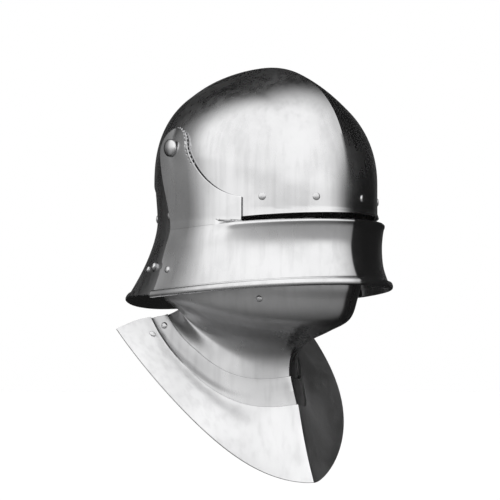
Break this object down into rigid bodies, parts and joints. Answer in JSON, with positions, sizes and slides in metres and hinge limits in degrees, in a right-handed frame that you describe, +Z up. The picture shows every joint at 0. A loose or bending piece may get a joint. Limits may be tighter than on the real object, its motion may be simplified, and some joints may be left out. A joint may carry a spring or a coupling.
{
  "type": "visored sallet helmet with bevor",
  "caption": "Polished steel sallet with a lifting visor, flared tail and a plated bevor for chin and neck.",
  "frame": {"origin": "inside of the skull's crown, where the helmet sits on the head", "axes": "+Z up, the wearer faces -Y, +X to the wearer's left"},
  "size_m": [0.2632, 0.3195, 0.4252],
  "materials": {
    "plate_steel": "satin polish",
    "rivet_steel": "polished"
  },
  "bodies": {
    "root": {"skull": "plate_steel", "bevor_plate": "plate_steel", "bevor_lame": "plate_steel", "gorget_plate": "plate_steel", "pivot_rivet_right": "rivet_steel", "pivot_rivet_left": "rivet_steel", "brow_rivet_1": "rivet_steel", "brow_rivet_2": "rivet_steel", "brow_rivet_3": "rivet_steel", "brow_rivet_4": "rivet_steel", "nape_rivet_1": "rivet_steel", "nape_rivet_2": "rivet_steel", "nape_rivet_3": "rivet_steel", "nape_rivet_4": "rivet_steel", "nape_rivet_5": "rivet_steel", "nape_rivet_6": "rivet_steel", "catch_rivet": "rivet_steel", "cheek_rivet_right": "rivet_steel", "cheek_rivet_left": "rivet_steel", "lame_rivet_right": "rivet_steel", "lame_rivet_left": "rivet_steel", "gorget_rivet_right": "rivet_steel", "gorget_rivet_left": "rivet_steel"},
    "visor": {"visor": "plate_steel", "visor_rivet": "rivet_steel"},
    "catch": {"catch_stud": "rivet_steel"}
  },
  "joints": [
    {"name": "visor_lift", "type": "hinge", "parent": "root", "child": "visor", "pos_m": [0, 0.024, -0.0862], "axis": [-1, 0, 0], "range_deg": [0, 50]},
    {"name": "catch_push", "type": "slide", "parent": "root", "child": "catch", "axis": [0.9204, -0.2564, -0.2953], "range_m": [0, 0.0025], "stiffness_N_per_m": 600}
  ]
}
